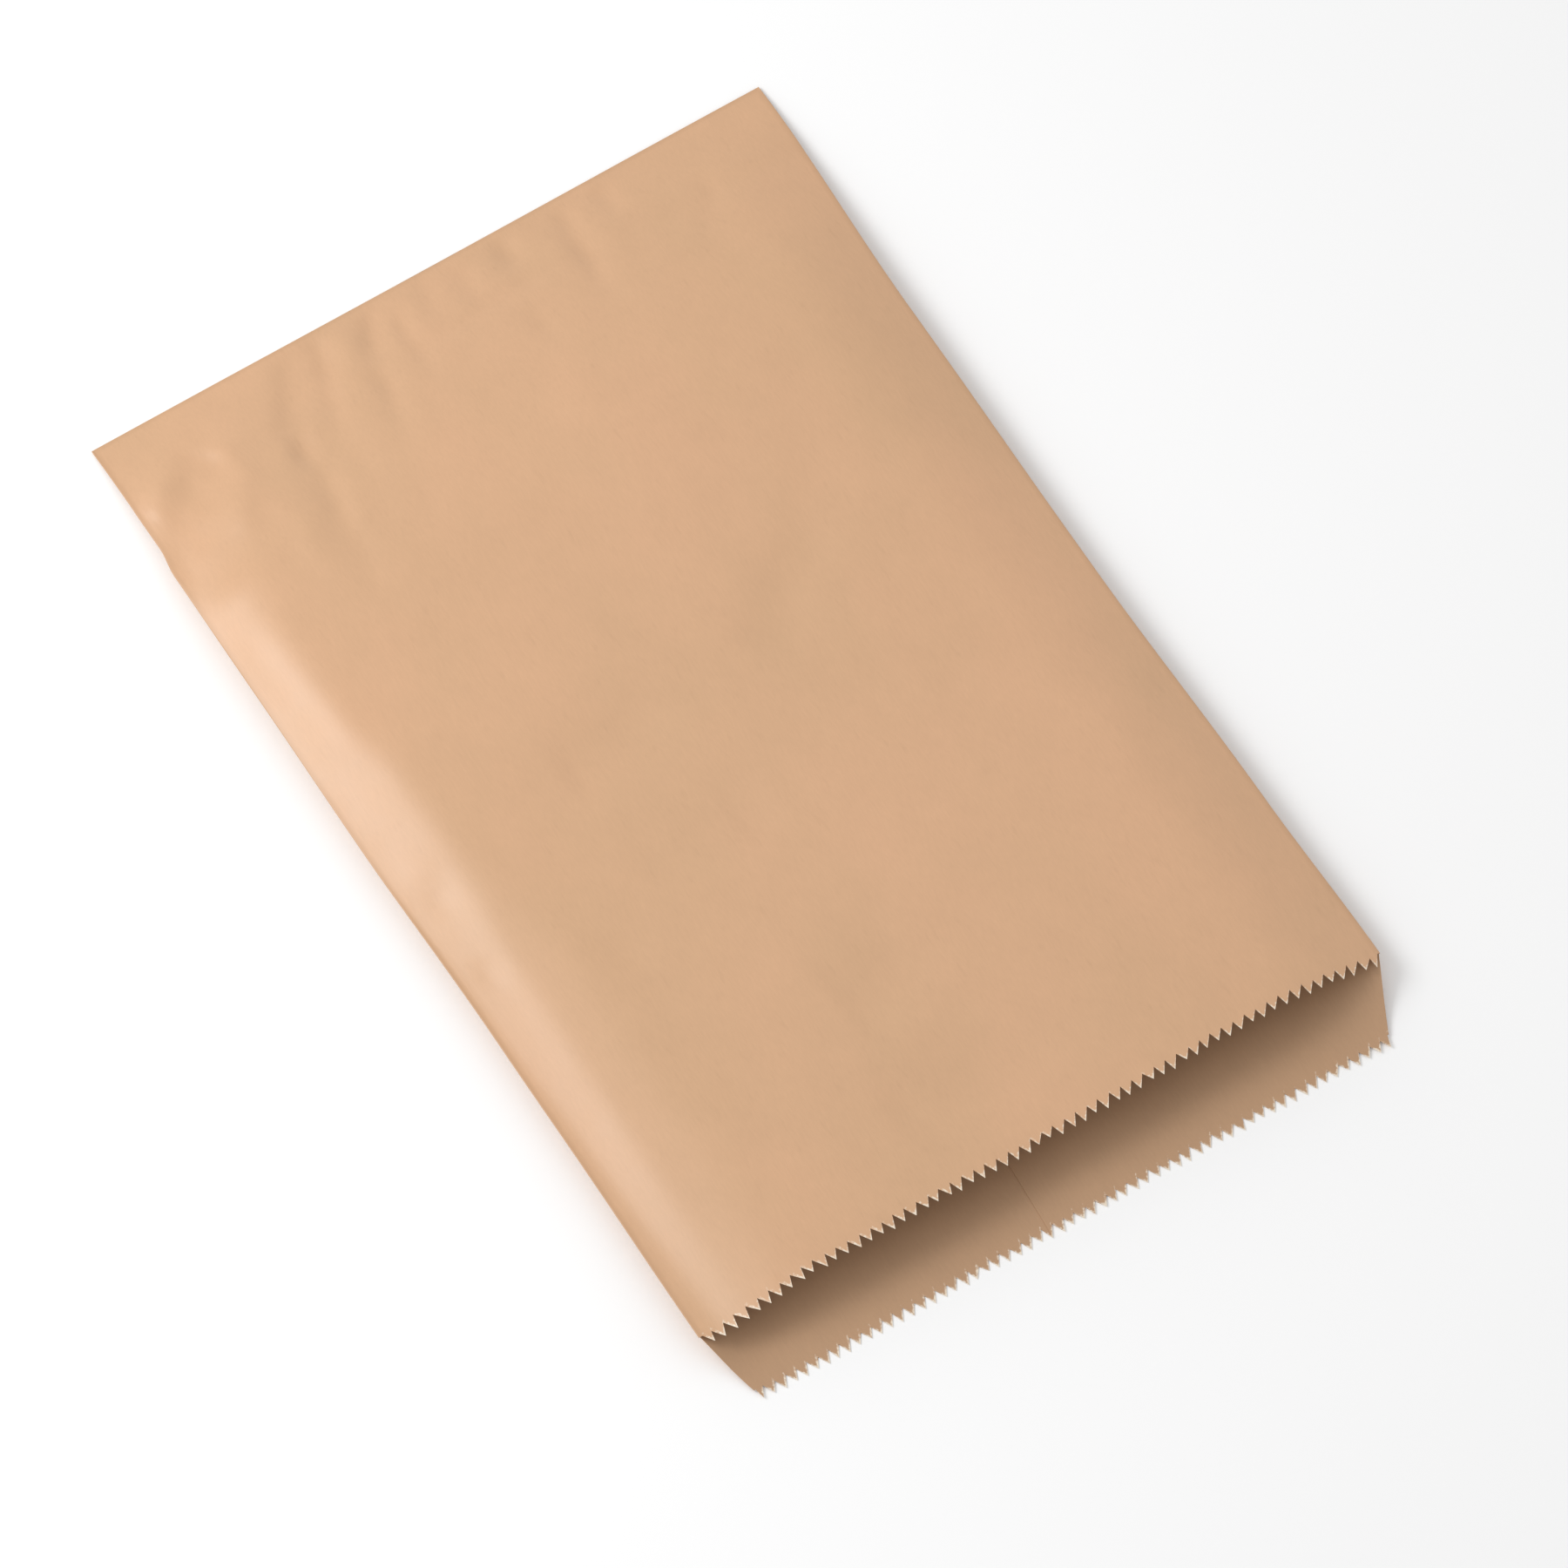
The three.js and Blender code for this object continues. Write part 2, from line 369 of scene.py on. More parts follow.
    def unevenness(self, x: float, depth: float) -> float:
        """The broad, faint waves of paper that has been handled."""
        return self.broad_wave.at(x, depth) + self.small_wave.at(x, depth)

    def front_inside(self, x: float, depth: float) -> float:
        """Height of the front's inner skin above the table."""
        drop = self.open_height * self.rise(depth) / 2.0
        from_left = x - self.left(depth)
        from_right = self.right(depth) - x
        share = min(self.left_share(from_left, depth), self.right_share(from_right, depth))
        away = smooth(min(from_left, from_right) / self.fade_in) * smooth((depth - 1.0) / self.fade_in)
        height = self.floor(depth) + drop * (1.0 + share) + away * self.unevenness(x, depth)
        bent_x = x + self.crease_bend.at(x, depth)
        bent_depth = depth + self.crease_shift.at(x, depth)
        ragged = 1.0 + self.crease_raggedness.at(x, depth)
        sunk = 0.0
        for crease in self.creases:
            if crease.steady:
                sunk += crease.sink(x, depth)
            else:
                strength = ragged if crease.width < self.broad_crease else 1.0
                sunk += strength * crease.sink(bent_x, bent_depth)
        end_share = smooth(depth / self.crease_end_fade)
        side_share = smooth(min(from_left, from_right) / self.crease_side_fade)
        lowest = self.floor(depth) + self.least_gap
        return max(lowest, height - sunk * end_share * side_share)

    def back_inside(self, x: float, depth: float, drop: float) -> float:
        """Height of the back's inner skin: flat on the table, curling up to each side fold.

        Args:
            x: Place across the bag.
            depth: Distance from the closed edge.
            drop: How high the sheet stands at the side folds.

        Returns:
            The height above the table.
        """
        past_rise = clamp01((depth - self.rise_length) / (self.front_length - self.rise_length))
        shoulder = lerp(self.back_shoulder_start, self.back_shoulder_end, past_rise)
        right_shoulder = along(self.right_shoulder, depth) * self.back_shoulder_right
        from_left = clamp01((x - self.left(depth)) / shoulder)
        from_right = clamp01((self.right(depth) - x) / right_shoulder)
        return self.floor(depth) + drop * (1.0 - min(from_left, from_right)) ** 2


# Streaks that the glued tongue leaves in the front at the closed end
CLOSED_END_CREASES = (
    Crease(((-31.0, 0.0), (-37.0, 11.0), (-41.5, 20.0), (-43.5, 37.0), (-46.0, 57.0)), 1.00, 2.2),
    Crease(((-26.5, 0.0), (-30.0, 12.0), (-33.0, 21.0)), 0.80, 1.6),
    Crease(((-14.0, 0.0), (-19.5, 15.0), (-24.5, 33.0)), 0.80, 1.8),
    Crease(((-22.5, 3.0), (-23.5, 14.0)), -0.40, 1.4),
    Crease(((-10.5, 6.0), (-12.0, 23.0)), 0.55, 1.3),
    Crease(((-2.5, 1.0), (-3.5, 13.0)), 0.50, 1.4),
    Crease(((4.0, 3.0), (4.5, 14.0)), 0.55, 1.3),
    Crease(((15.5, 0.0), (14.5, 13.5)), 0.95, 1.8),
    Crease(((28.0, 2.0), (27.5, 14.0), (25.5, 26.0)), 0.80, 1.7),
    Crease(((37.5, 1.0), (37.0, 14.0)), 0.52, 1.5),
    Crease(((11.0, 19.0), (12.5, 31.0)), 0.42, 1.9),
    Crease(((-38.0, 21.0), (-40.0, 34.0)), 0.36, 2.1),
    Crease(((-32.0, 6.0), (-34.0, 20.0), (-36.0, 46.0)), 0.60, 3.2),
    Crease(((56.5, 13.0), (52.5, 19.0), (48.5, 27.0)), 0.36, 1.2),
    Crease(((-16.0, 15.4), (4.0, 15.0), (35.0, 15.2)), 0.30, 1.1),
)

# The pinched corner at the left of the closed end
CORNER_CREASES = (
    Crease(((-75.2, 20.7), (-70.8, 16.2), (-66.8, 11.2)), -0.66, 1.7),
    Crease(((-57.5, 11.8), (-62.0, 17.8), (-68.0, 25.8), (-74.3, 34.0)), 1.15, 2.6),
    Crease(((-53.5, 10.5), (-56.0, 22.5), (-62.0, 34.5), (-65.5, 42.5)), -0.62, 2.6),
    Crease(((-51.5, 30.0), (-53.0, 56.0)), -0.38, 2.0),
)

# Marks of handling on the front, most of them broad and faint
WEAR_CREASES = (
    Crease(((7.0, 112.0), (25.0, 97.0), (41.0, 80.0)), 0.80, 4.4),
    Crease(((-40.0, 113.0), (-8.0, 112.0)), 1.00, 5.2),
    Crease(((-15.0, 138.0), (-4.0, 138.0)), 0.48, 4.2),
    Crease(((-50.0, 155.0), (-42.0, 146.0)), 0.40, 4.2),
    Crease(((-20.0, 183.0), (8.0, 181.0)), 0.85, 6.0),
    Crease(((-26.0, 209.0), (16.0, 208.0)), 0.85, 6.0),
    Crease(((10.0, 34.0), (11.0, 60.0), (9.0, 88.0)), -0.60, 8.5),
    Crease(((-65.6, 112.0), (-66.1, 170.0), (-66.6, 245.0)), -0.30, 2.8, steady=True),
    Crease(((-74.0, 113.0), (-68.0, 117.0)), -0.22, 2.0),
    Crease(((-73.0, 121.0), (-66.0, 125.0)), 0.26, 1.8),
    Crease(((-70.0, 138.0), (-69.0, 143.0)), 0.24, 1.5),
    Crease(((52.0, 212.0), (54.5, 214.5)), 0.26, 0.9),
)


@dataclass(frozen=True)
class Column:
    """One column of the blank's grid.

    Args:
        part: The part of the blank that it belongs to.
        half_teeth: Its place across the bag, counted in half teeth from the left fold.
        run: Extra distance from the fold in millimetres, for columns close beside it.
        turn: Place round a fold, from 0 on the sheet before it to 1 on the sheet after it.
    """

    part: Part
    half_teeth: int
    run: float = 0.0
    turn: float = 0.0


@dataclass(frozen=True)
class Row:
    """One row of the blank's grid.

    Args:
        band: The band of the blank that it belongs to.
        depth: Distance from the closed edge, or from the closed edge under the back for the tongue.
        turn: Place round the closed edge, from 0 under the back to 1 on the front.
        cut: How much of the knife's zigzag the row takes, from 0 to 1.
    """

    band: Band
    depth: float
    turn: float = 0.0
    cut: float = 0.0


@dataclass(frozen=True)
class KraftPaper:
    """Finish: machine-glazed brown kraft paper, smooth outside, duller and darker inside and pale where it
    is cut, with painted shade in its inside colour and along its folds.
    """

    colour: tuple[float, float, float, float] = (0.618, 0.372, 0.208, 1.0)
    rosy: tuple[float, float, float, float] = (0.634, 0.372, 0.212, 1.0)
    fleck: tuple[float, float, float, float] = (0.430, 0.250, 0.135, 1.0)
    # Inner skin: the paper's browner inside, darkened further with painted shade for the inside of the bag
    inner: tuple[float, float, float, float] = (0.475, 0.285, 0.160, 1.0)
    torn: tuple[float, float, float, float] = (0.86, 0.76, 0.62, 1.0)
    # Painted shade: a darker tint along the side folds and the closed edge, where the paper turns down
    fold_shade: tuple[float, float, float, float] = (0.470, 0.270, 0.140, 1.0)
    roughness: float = 0.40
    specular: float = 0.62
    fibre_grain: tuple[float, float, float] = (2600.0, 420.0, 2600.0)
    fleck_grain: tuple[float, float, float] = (950.0, 210.0, 950.0)
    formation_grain: tuple[float, float, float] = (160.0, 120.0, 160.0)
    patch_grain: tuple[float, float, float] = (26.0, 17.0, 26.0)
    tear_grain: tuple[float, float, float] = (1500.0, 1500.0, 1500.0)
    cockle_grain: tuple[float, float, float] = (75.0, 60.0, 75.0)
    fibre_height: float = 0.00003
    fibre_strength: float = 0.18
    cockle_height: float = 0.0004
    cockle_strength: float = 0.16
    formation_tone: tuple[float, float] = (0.982, 1.018)
    fibre_tone: tuple[float, float] = (0.972, 1.028)
    patch_tone: tuple[float, float] = (0.972, 1.022)
    fleck_share: float = 0.13
    fold_shade_share: float = 0.42
    fold_shade_reach: tuple[float, float] = (0.15, 1.3)
    fold_shade_wander: float = 0.25
    torn_share: float = 0.95
    torn_reach: tuple[float, float] = (0.15, 0.75)
    torn_wander: float = 0.45
    inside_dullness: float = 0.25
    gloss_spread: float = 0.03

    def material(self) -> bpy.types.Material:
        """Builds the node material.

        Returns:
            The material that dresses the whole sheet.
        """
        finish = bpy.data.materials.new("kraft_paper")
        finish.use_nodes = True
        nodes = finish.node_tree.nodes
        links = finish.node_tree.links
        nodes.clear()
        output = nodes.new("ShaderNodeOutputMaterial")
        shader = nodes.new("ShaderNodeBsdfPrincipled")
        links.new(shader.outputs["BSDF"], output.inputs["Surface"])
        shader.inputs["Specular IOR Level"].default_value = self.specular
        place = nodes.new("ShaderNodeTexCoord").outputs["Object"]

        def stretched(scale: tuple[float, float, float]) -> bpy.types.NodeSocket:
            """Object coordinates scaled by axis."""
            mapping = nodes.new("ShaderNodeMapping")
            mapping.inputs["Scale"].default_value = scale
            links.new(place, mapping.inputs["Vector"])
            return mapping.outputs["Vector"]

        def cloud(
            scale: tuple[float, float, float], detail: float, rough: float = 0.5
        ) -> bpy.types.NodeSocket:
            """A noise pattern whose grain is one over the scale, in metres."""
            pattern = nodes.new("ShaderNodeTexNoise")
            pattern.inputs["Scale"].default_value = 1.0
            pattern.inputs["Detail"].default_value = detail
            pattern.inputs["Roughness"].default_value = rough
            links.new(stretched(scale), pattern.inputs["Vector"])
            return pattern.outputs["Fac"]

        def spread(
            source: bpy.types.NodeSocket, low: float, high: float, start: float, end: float
        ) -> bpy.types.NodeSocket:
            """A value carried from one range onto another, and held inside it."""
            ranged = nodes.new("ShaderNodeMapRange")
            ranged.inputs["From Min"].default_value = low
            ranged.inputs["From Max"].default_value = high
            ranged.inputs["To Min"].default_value = start
            ranged.inputs["To Max"].default_value = end
            links.new(source, ranged.inputs["Value"])
            return ranged.outputs["Result"]

        def blended(
            share: object, under: object, over: object, mode: str = "MIX"
        ) -> bpy.types.NodeSocket:
            """Two colours mixed by a share. Each of the three is a socket or a plain value."""
            mix = nodes.new("ShaderNodeMix")
            mix.data_type = "RGBA"
            mix.blend_type = mode
            if isinstance(share, bpy.types.NodeSocket):
                links.new(share, mix.inputs["Factor"])
            else:
                mix.inputs["Factor"].default_value = share
            for name, colour in (("A", under), ("B", over)):
                socket = next(s for s in mix.inputs if s.name == name and s.type == "RGBA")
                if isinstance(colour, bpy.types.NodeSocket):
                    links.new(colour, socket)
                else:
                    socket.default_value = colour
            return next(s for s in mix.outputs if s.type == "RGBA")

        def math_of(kind: str, first: bpy.types.NodeSocket, second: object) -> bpy.types.NodeSocket:
            """One sum, product or the like of a socket and a socket or number."""
            sum_node = nodes.new("ShaderNodeMath")
            sum_node.operation = kind
            links.new(first, sum_node.inputs[0])
            if isinstance(second, bpy.types.NodeSocket):
                links.new(second, sum_node.inputs[1])
            else:
                sum_node.inputs[1].default_value = second
            return sum_node.outputs[0]

        def measured(name: str) -> bpy.types.NodeSocket:
            """A number that the mesh carries at each point."""
            attribute = nodes.new("ShaderNodeAttribute")
            attribute.attribute_name = name
            return attribute.outputs["Fac"]

        fibres = cloud(self.fibre_grain, 3.0, 0.6)
        flecks = cloud(self.fleck_grain, 2.0)
        formation = cloud(self.formation_grain, 4.0, 0.6)
        patches = cloud(self.patch_grain, 3.0)

        tone = blended(spread(patches, 0.35, 0.68, 0.0, 1.0), self.colour, self.rosy)
        # The inner skin takes the inside colour, which is partly the paper's own browner inside and partly
        # painted shade
        tone = blended(spread(measured("inside"), 0.0, 1.0, 0.0, 1.0), tone, self.inner)
        tone = blended(spread(flecks, 0.62, 0.80, 0.0, self.fleck_share), tone, self.fleck)
        level = spread(formation, 0.25, 0.75, *self.formation_tone)
        level = math_of("MULTIPLY", level, spread(fibres, 0.25, 0.75, *self.fibre_tone))
        level = math_of("MULTIPLY", level, spread(patches, 0.3, 0.7, *self.patch_tone))
        shade = nodes.new("ShaderNodeCombineColor")
        for name in ("Red", "Green", "Blue"):
            links.new(level, shade.inputs[name])
        tone = blended(1.0, tone, shade.outputs["Color"], "MULTIPLY")

        # Painted shade along the folds and the closed edge, its reach made uneven by the formation noise
        uneven = spread(formation, 0.0, 1.0, -self.fold_shade_wander, self.fold_shade_wander)
        fold = math_of("ADD", measured("fold_distance"), uneven)
        tone = blended(spread(fold, *self.fold_shade_reach, self.fold_shade_share, 0.0), tone, self.fold_shade)
        ragged = cloud(self.tear_grain, 3.0, 0.7)
        uneven = spread(ragged, 0.3, 0.7, -self.torn_wander, self.torn_wander)
        cut = math_of("ADD", measured("cut_distance"), uneven)
        tone = blended(spread(cut, *self.torn_reach, self.torn_share, 0.0), tone, self.torn)
        links.new(tone, shader.inputs["Base Color"])

        smoothest = self.roughness - self.gloss_spread
        gloss = spread(formation, 0.2, 0.8, smoothest, self.roughness + self.gloss_spread)
        gloss = math_of("ADD", gloss, spread(measured("inside"), 0.0, 1.0, 0.0, self.inside_dullness))
        links.new(gloss, shader.inputs["Roughness"])

        relief = nodes.new("ShaderNodeBump")
        relief.inputs["Strength"].default_value = self.fibre_strength
        relief.inputs["Distance"].default_value = self.fibre_height
        links.new(fibres, relief.inputs["Height"])
        cockle = nodes.new("ShaderNodeBump")
        cockle.inputs["Strength"].default_value = self.cockle_strength
        cockle.inputs["Distance"].default_value = self.cockle_height
        links.new(cloud(self.cockle_grain, 2.0), cockle.inputs["Height"])
        links.new(relief.outputs["Normal"], cockle.inputs["Normal"])
        links.new(cockle.outputs["Normal"], shader.inputs["Normal"])
        return finish


@dataclass
class PaperBag:
    """The bag: one blank folded to a tube, cut by a toothed knife, with its tongue glued under."""

    shape: BagShape = field(default_factory=BagShape)
    finish: KraftPaper = field(default_factory=KraftPaper)
    lip_drop: float = 0.8
    fold_fade: float = 0.9
    tooth_wander: float = 0.24
    tooth_lift: float = 0.22
    tip_short: float = 0.12
    tip_spread: float = 0.2
    longest_tip: float = 0.1
    usual_tip: float = 0.1
    valley_spread: tuple[float, float] = (-0.28, 0.18)
    valley_pale: float = 0.75
    fold_reach: float = 0.5
    back_curl: float = 15.0
    lap_gap: float = 0.004
    lap_shelf: float = 0.3
    tongue_inset: float = 0.3
    front_rim: float = 1.6
    back_rim: float = 0.3
    rim_fade: float = 3.0
    tilt_fade: float = 6.0
    wall_clamp: float = 1.6
    smooth_angle: float = 38.0
    beside_fold: tuple[float, ...] = (0.25, 0.6)
    side_turns: tuple[float, ...] = (0.0, 0.25, 0.5, 0.75, 1.0)
    closed_turns: tuple[float, ...] = (0.17, 0.33, 0.5, 0.67, 0.83)
    tongue_rows: tuple[float, ...] = (11.9, 10.3, 8.4, 6.0, 4.0, 2.4, 1.2, 0.5, 0.18)
    first_rows: tuple[float, ...] = (0.18, 0.5, 1.0, 1.6, 2.3)
    mouth_rows: tuple[float, ...] = (213.0, 215.5, 217.7, 219.5, 221.0, 222.2, 223.1)
    lip_rows: tuple[float, ...] = (226.0, 227.4, 229.0, 230.8, 232.6, 234.4, 236.1, 237.3)
    rows_start: float = 3.5
    row_steps: tuple[tuple[float, float], ...] = ((66.0, 1.45), (211.0, 2.5))
    seed: int = 17

    def columns(self) -> list[Column]:
        """The blank's columns, from the lap's lower edge round the bag to its upper edge."""
        teeth = self.shape.teeth
        lap_half_teeth = round(self.shape.lap / self.shape.width * teeth)
        beside = self.beside_fold
        columns = [Column(Part.LOWER_LAP, k) for k in range(teeth + lap_half_teeth, 0, -1)]
        columns += [Column(Part.LOWER_LAP, 0, run) for run in reversed(beside)]
        columns += [Column(Part.LEFT_FOLD, 0, 0.0, turn) for turn in self.side_turns]
        columns += [Column(Part.FRONT, 0, run) for run in beside]
        columns += [Column(Part.FRONT, k) for k in range(1, 2 * teeth)]
        columns += [Column(Part.FRONT, 2 * teeth, -run) for run in reversed(beside)]
        columns += [Column(Part.RIGHT_FOLD, 2 * teeth, 0.0, turn) for turn in self.side_turns]
        columns += [Column(Part.UPPER_LAP, 2 * teeth, -run) for run in beside]
        columns += [Column(Part.UPPER_LAP, k) for k in range(2 * teeth - 1, teeth - lap_half_teeth - 1, -1)]
        return columns

    def rows(self) -> list[Row]:
        """The blank's rows, from the tongue's teeth to the lip's teeth."""
        shape = self.shape
        rows = [Row(Band.TONGUE, shape.tongue, cut=1.0)]
        rows += [Row(Band.TONGUE, depth) for depth in self.tongue_rows]
        rows += [Row(Band.CLOSED_FOLD, shape.closed_middle, turn) for turn in self.closed_turns]
        depths = list(self.first_rows)
        depth = self.rows_start
        for end, step in self.row_steps:
            while depth < end:
                depths.append(depth)
                depth += step
        depths += self.mouth_rows
        rows += [Row(Band.TUBE, depth) for depth in depths]
        rows.append(Row(Band.TUBE, shape.front_length, cut=1.0))
        rows += [Row(Band.LIP, depth) for depth in self.lip_rows]
        rows.append(Row(Band.LIP, shape.length, cut=1.0))
        return rows

    def zigzag(self, half_teeth: int, seed: int) -> tuple[float, float, float]:
        """Where the knife's edge passes at a tip or valley.

        Args:
            half_teeth: Place across the bag in half teeth, odd at the tips.
            seed: Which cut of the knife this is.

        Returns:
            How far the edge stands back from the line of the tips, how far it wanders sideways, and how
            far the paper there is bent up or down.
        """
        chance = random.Random(self.seed + 1009 * seed + half_teeth)
        sideways = chance.uniform(-self.tooth_wander, self.tooth_wander)
        if half_teeth % 2 == 1:
            short = max(-self.longest_tip, chance.gauss(self.tip_short, self.tip_spread))
            return short, sideways, chance.gauss(0.0, self.tooth_lift)
        return self.shape.tooth_depth + chance.uniform(*self.valley_spread), 0.5 * sideways, 0.0

    def fold_point(self, column: Column, depth: float, drop: float) -> tuple[float, float]:
        """A point on the small round of a side fold.

        Args:
            column: The column, whose turn says where on the round it is.
            depth: Distance from the closed edge.
            drop: How high the folds stand above the flat back.

        Returns:
            The place across the bag and the height above the table.
        """
        shape = self.shape
        radius = shape.fold_radius
        reach = self.fold_reach
        if column.part == Part.LEFT_FOLD:
            front = shape.front_inside(shape.left(depth) + reach, depth)
            turn = column.turn
        else:
            front = shape.front_inside(shape.right(depth) - reach, depth)
            turn = 1.0 - column.turn
        crest = shape.floor(depth) + drop
        front_tilt = math.atan2(max(0.0, front - crest), reach) * smooth(depth / self.tilt_fade)
        back_tilt = math.atan(2.0 * drop / self.back_curl)
        angle = lerp(-math.pi / 2.0 + back_tilt, math.pi / 2.0 - front_tilt, turn)
        inward = radius * (1.0 - math.cos(angle))
        height = crest + radius + radius * math.sin(angle)
        if column.part == Part.LEFT_FOLD:
            return shape.left(depth) + inward, height
        return shape.right(depth) - inward, height

    def place(self, column: Column, row: Row) -> tuple[Vector, float, float]:
        """Where one point of the blank goes when the bag is folded.

        Args:
            column: The point's column.
            row: The point's row.

        Returns:
            The place of the sheet's inner skin in millimetres, the distance to the nearest cut edge, and
            the distance to the nearest fold.
        """
        shape = self.shape
        depth = row.depth
        stand_back, sideways, lift = 0.0, 0.0, 0.0
        is_edge = column.part in FOLD_PARTS or column.run != 0.0
        if row.cut > 0.0:
            if is_edge:
                stand_back = shape.tooth_depth
            else:
                stand_back, sideways, lift = self.zigzag(column.half_teeth, list(Band).index(row.band))
        tooth_line = shape.front_length
        if row.band == Band.LIP:
            tooth_line = shape.length
        if row.band == Band.TUBE and row.cut > 0.0 and column.part in BACK_PARTS:
            stand_back, sideways, lift = shape.tooth_depth, 0.0, 0.0
        depth -= stand_back * row.cut
        if row.band == Band.TUBE and column.part not in BACK_PARTS:
            across_width = (column.half_teeth / shape.teeth - 1.0) * shape.width / 2.0
            depth += along(shape.mouth_line, across_width) * row.cut

        drop = shape.open_height * shape.rise(depth) / 2.0
        lip = clamp01((depth - shape.front_length + shape.tooth_depth) / shape.lip_length)
        back_drop = drop * (1.0 - self.lip_drop * smooth(lip))
        left, right = shape.left(depth), shape.right(depth)
        across = column.half_teeth / (2.0 * shape.teeth)
        lip_left = left + shape.lip_inset_left * lip
        lip_right = right - shape.lip_inset_right * lip
        x = lerp(lip_left, lip_right, across) + column.run + sideways
        fold_away = min(x - left, right - x) if row.band != Band.LIP else FAR
        cut_away = self.cut_distance(column, row, depth, tooth_line)

        if row.band in (Band.TONGUE, Band.CLOSED_FOLD):
            share = clamp01((x - left) / (right - left))
            x = lerp(left + self.tongue_inset, right - self.tongue_inset, share)
        if row.band == Band.TONGUE:
            height = self.tongue_height(x, row)
            y = shape.closed_y - depth + shape.skew(x, depth)
            return Vector((x, y, height)), cut_away, min(fold_away, row.depth)
        if row.band == Band.CLOSED_FOLD:
            angle = lerp(-math.pi / 2.0, math.pi / 2.0, row.turn)
            y = shape.closed_y - shape.closed_middle + shape.skew(x, 0.0)
            y += shape.closed_radius * math.cos(angle)
            height = shape.closed_middle + shape.closed_radius * math.sin(angle)
            return Vector((x, y, height)), FAR, 0.0

        y = shape.closed_y - depth + shape.skew(x, depth)
        if column.part in FOLD_PARTS:
            x, height = self.fold_point(column, depth, drop)
            return Vector((x, y, height)), cut_away, 0.0
        if column.part == Part.FRONT:
            height = shape.front_inside(x, depth) + lift * row.cut
        else:
            height = shape.back_inside(x, depth, back_drop)
            height += self.lap_lift(column.part, x)
        if row.band == Band.TUBE:
            beside = math.exp(-fold_away / self.fold_fade) * smooth(depth / self.rim_fade)
            rim = self.front_rim if column.part == Part.FRONT else self.back_rim
            height += shape.fold_radius * rim * beside
        closed_away = depth if column.part == Part.FRONT else FAR
        return Vector((x, y, height)), cut_away, min(fold_away, closed_away)

    def tongue_height(self, x: float, row: Row) -> float:
        """Height of the tongue's glued side, which follows the back's curl at the side folds."""
        depth = max(row.depth, self.shape.closed_middle)
        drop = self.shape.open_height * self.shape.rise(depth) / 2.0
        return self.shape.back_inside(x, depth, drop) - self.shape.paper

    def lap_lift(self, part: Part, x: float) -> float:
        """How far the back's upper sheet is raised where it laps the lower one."""
        shape = self.shape
        edge = shape.lap / 2.0
        if part == Part.UPPER_LAP:
            past_edge = x - edge - self.lap_shelf
            return (shape.paper + self.lap_gap) * (1.0 - smooth(past_edge / shape.drape))
        return 0.0

    def cut_distance(self, column: Column, row: Row, depth: float, tooth_line: float) -> float:
        """The distance to the nearest frayed edge along the bag. The tips fray, and the valleys hardly.

        Args:
            column: The point's column.
            row: The point's row.
            depth: The point's own depth, after the zigzag.
            tooth_line: Depth of the line of tips that its band ends at.

        Returns:
            The distance in millimetres.
        """
        if row.cut > 0.0 and not (row.band == Band.TUBE and column.part in BACK_PARTS):
            return 0.0 if column.half_teeth % 2 == 1 else self.valley_pale
        stand_back = self.shape.tooth_depth if column.half_teeth % 2 == 0 else self.usual_tip
        if row.band == Band.TONGUE:
            away = self.shape.tongue - stand_back - depth
        elif column.part in BACK_PARTS:
            away = self.shape.length - stand_back - depth
        else:
            away = tooth_line - stand_back - depth
        return min(FAR, max(0.0, away))

    def flat_blank(self, columns: int, rows: int) -> bpy.types.Object:
        """Adds the flat sheet as a grid with one face between neighbouring columns and rows."""
        deselect_all()
        bpy.ops.mesh.primitive_grid_add(x_subdivisions=columns - 1, y_subdivisions=rows - 1, size=1.0)
        blank = bpy.context.object
        blank.name = "kraft_paper_bag"
        blank.data.name = "kraft_paper_bag"
        return blank

    def trim(self, blank: bpy.types.Object, columns: list[Column], rows: list[Row]) -> None:
        """Cuts away the corners of the blank that the bag has no paper in.

        Args:
            blank: The flat sheet.
            columns: Its columns, in order.
            rows: Its rows, in order.
        """
        make_active(blank)
        bpy.ops.object.mode_set(mode="EDIT")
        bpy.ops.mesh.select_mode(type="FACE")
        bpy.ops.mesh.select_all(action="DESELECT")
        bpy.ops.object.mode_set(mode="OBJECT")
        across = len(columns) - 1
        for face in blank.data.polygons:
            row, column = divmod(face.index, across)
            before, after = rows[row], rows[row + 1]
            sides = (columns[column], columns[column + 1])
            if after.band == Band.LIP:
                face.select = not all(side.part in BACK_PARTS for side in sides)
            elif before.band in (Band.TONGUE, Band.CLOSED_FOLD):
                face.select = not all(side.part == Part.FRONT for side in sides)
        bpy.ops.object.mode_set(mode="EDIT")
        bpy.ops.mesh.delete(type="FACE")
        bpy.ops.object.mode_set(mode="OBJECT")

    def fold(self, blank: bpy.types.Object, columns: list[Column], rows: list[Row]) -> None:
        """Moves every point of the flat sheet to its place in the folded bag.

        Args:
            blank: The flat sheet, still a full grid.
            columns: Its columns, in order.
            rows: Its rows, in order.
        """
        mesh = blank.data
        cut = mesh.attributes.new("cut_distance", "FLOAT", "POINT")
        fold = mesh.attributes.new("fold_distance", "FLOAT", "POINT")
        shift = Vector((self.shape.centre_x, 0.0, 0.0))
        for index, vertex in enumerate(mesh.vertices):
            row, column = divmod(index, len(columns))
            place, cut_away, fold_away = self.place(columns[column], rows[row])
            vertex.co = (place + shift) * MM
            cut.data[index].value = cut_away
            fold.data[index].value = fold_away

